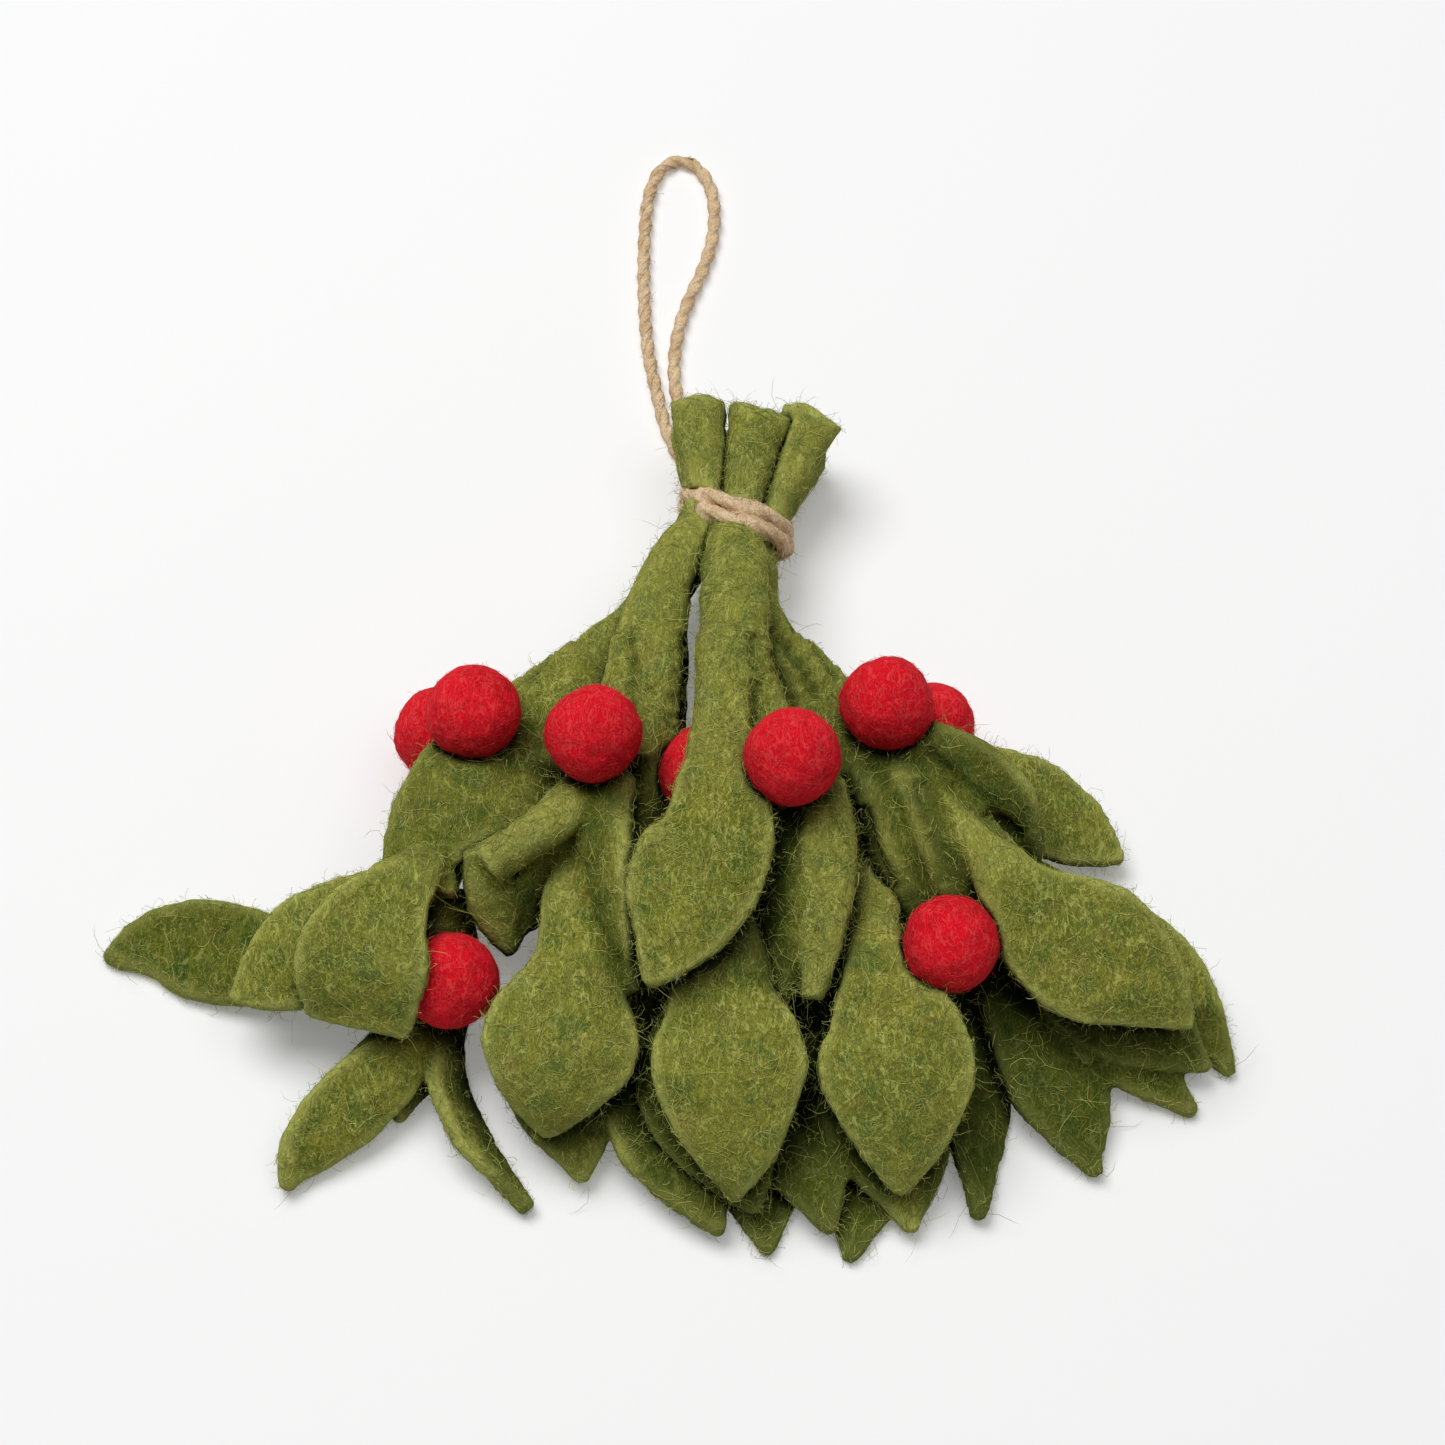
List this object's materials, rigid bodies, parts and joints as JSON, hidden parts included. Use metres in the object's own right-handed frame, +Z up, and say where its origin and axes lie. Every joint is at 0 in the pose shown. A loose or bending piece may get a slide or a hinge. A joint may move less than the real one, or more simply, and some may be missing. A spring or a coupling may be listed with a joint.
{
  "type": "felt mistletoe bunch",
  "caption": "Bunch of forked green felt sprigs with pointed leaves and red felt balls, tied with jute twine and lying flat, with a twine loop to hang it by.",
  "frame": {"origin": "on the surface the bunch lies on, under the middle of the bunch's bounding box, the loop left out", "axes": "+Z up from the surface, +Y towards the cut stem ends and the hanging loop, +X to the right seen from above with the stem ends away from the viewer"},
  "size_m": [0.2281, 0.271, 0.0555],
  "materials": {
    "green_felt": "mottled moss-green wool felt with a fuzzy pile and paler cut edges",
    "red_felt": "dense matt red needle-felted wool balls with stray fibres",
    "jute_twine": "tan two-ply jute twine, hairy and matt"
  },
  "bodies": {
    "root": {"sprig_centre_front": "green_felt", "sprig_left_front": "green_felt", "sprig_left_back": "green_felt", "sprig_right_back": "green_felt", "sprig_centre_low": "green_felt", "sprig_right_low": "green_felt", "berry_centre_front": "red_felt", "berry_left_front": "red_felt", "berry_left_inner": "red_felt", "berry_left_back_upper": "red_felt", "berry_left_back_outer": "red_felt", "berry_left_low": "red_felt", "berry_right_back_upper": "red_felt", "berry_right_back_outer": "red_felt", "berry_right_low": "red_felt", "twine_tie": "jute_twine", "hanging_loop": "jute_twine"}
  },
  "joints": []
}
